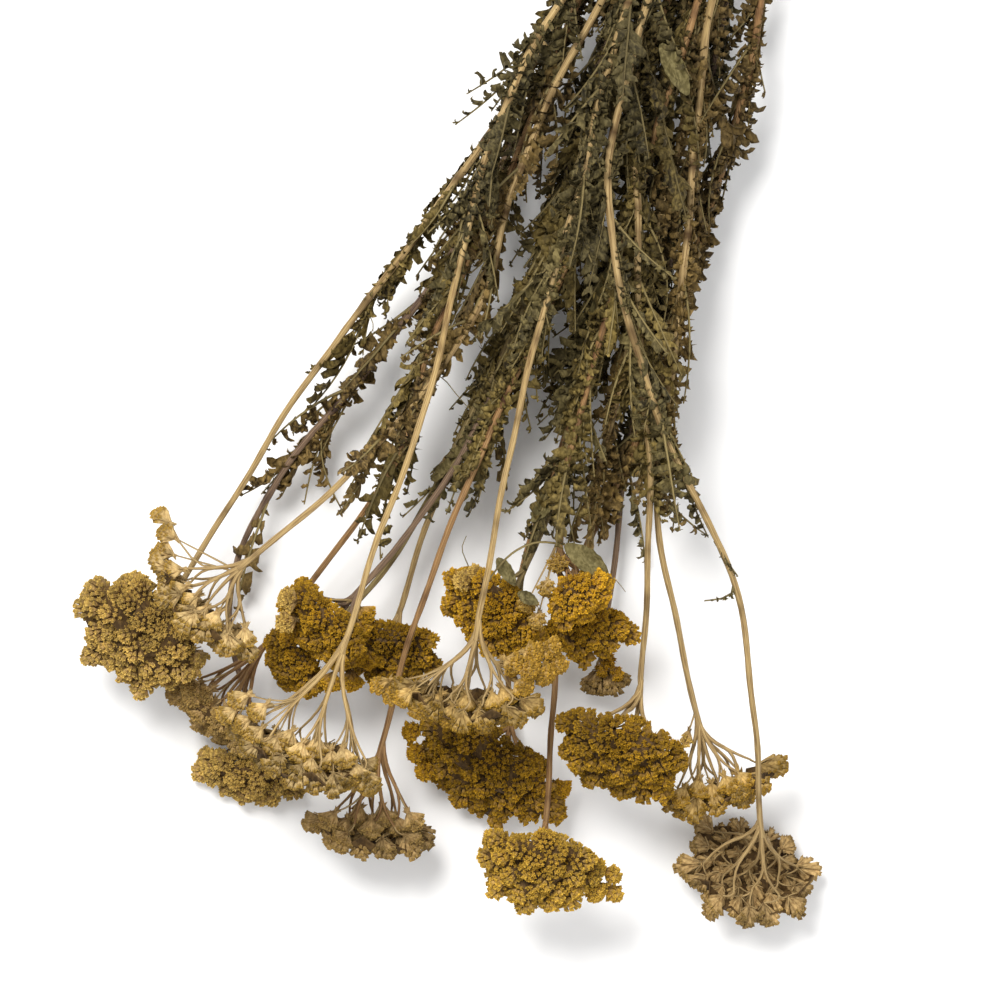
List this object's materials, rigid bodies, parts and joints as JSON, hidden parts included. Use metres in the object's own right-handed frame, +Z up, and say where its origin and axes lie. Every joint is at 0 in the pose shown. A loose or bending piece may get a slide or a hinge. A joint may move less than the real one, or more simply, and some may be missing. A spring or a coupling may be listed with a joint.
{
  "type": "dried yarrow bunch",
  "caption": "Bunch of dried golden yarrow lying down: leafy ridged stems tied with twine, each with a domed head of florets.",
  "frame": {"origin": "on the surface that the bunch lies on, under the middle of its bounding box", "axes": "+Z up from the surface, +Y along the bunch from the flower heads to the cut ends"},
  "size_m": [0.3694, 0.6538, 0.1111],
  "materials": {
    "stem": "matte",
    "florets_tan": "matte",
    "florets_pale": "matte",
    "florets_gold": "matte",
    "florets_bright": "matte",
    "florets_brown": "matte",
    "twine": "matte"
  },
  "bodies": {
    "root": {"stem_01": "stem", "stem_02": "stem", "stem_03": "stem", "stem_04": "stem", "stem_05": "stem", "stem_06": "stem", "stem_07": "stem", "stem_08": "stem", "stem_09": "stem", "stem_10": "stem", "stem_11": "stem", "stem_12": "stem", "stem_13": "stem", "stem_14": "stem", "stem_15": "stem", "stem_16": "stem", "stem_17": "stem", "stem_18": "stem", "stem_19": "stem", "head_01": "florets_tan", "head_02": "florets_pale", "head_03": "florets_gold", "head_04": "florets_brown", "head_05": "florets_tan", "head_06": "florets_pale", "head_07": "florets_brown", "head_08": "florets_gold", "head_09": "florets_pale", "head_10": "florets_gold", "head_11": "florets_bright", "head_12": "florets_gold", "head_13": "florets_gold", "head_14": "florets_gold", "head_15": "florets_brown", "head_16": "florets_gold", "head_17": "florets_pale", "head_18": "florets_brown", "head_19": "florets_gold", "tie": "twine"}
  },
  "joints": []
}
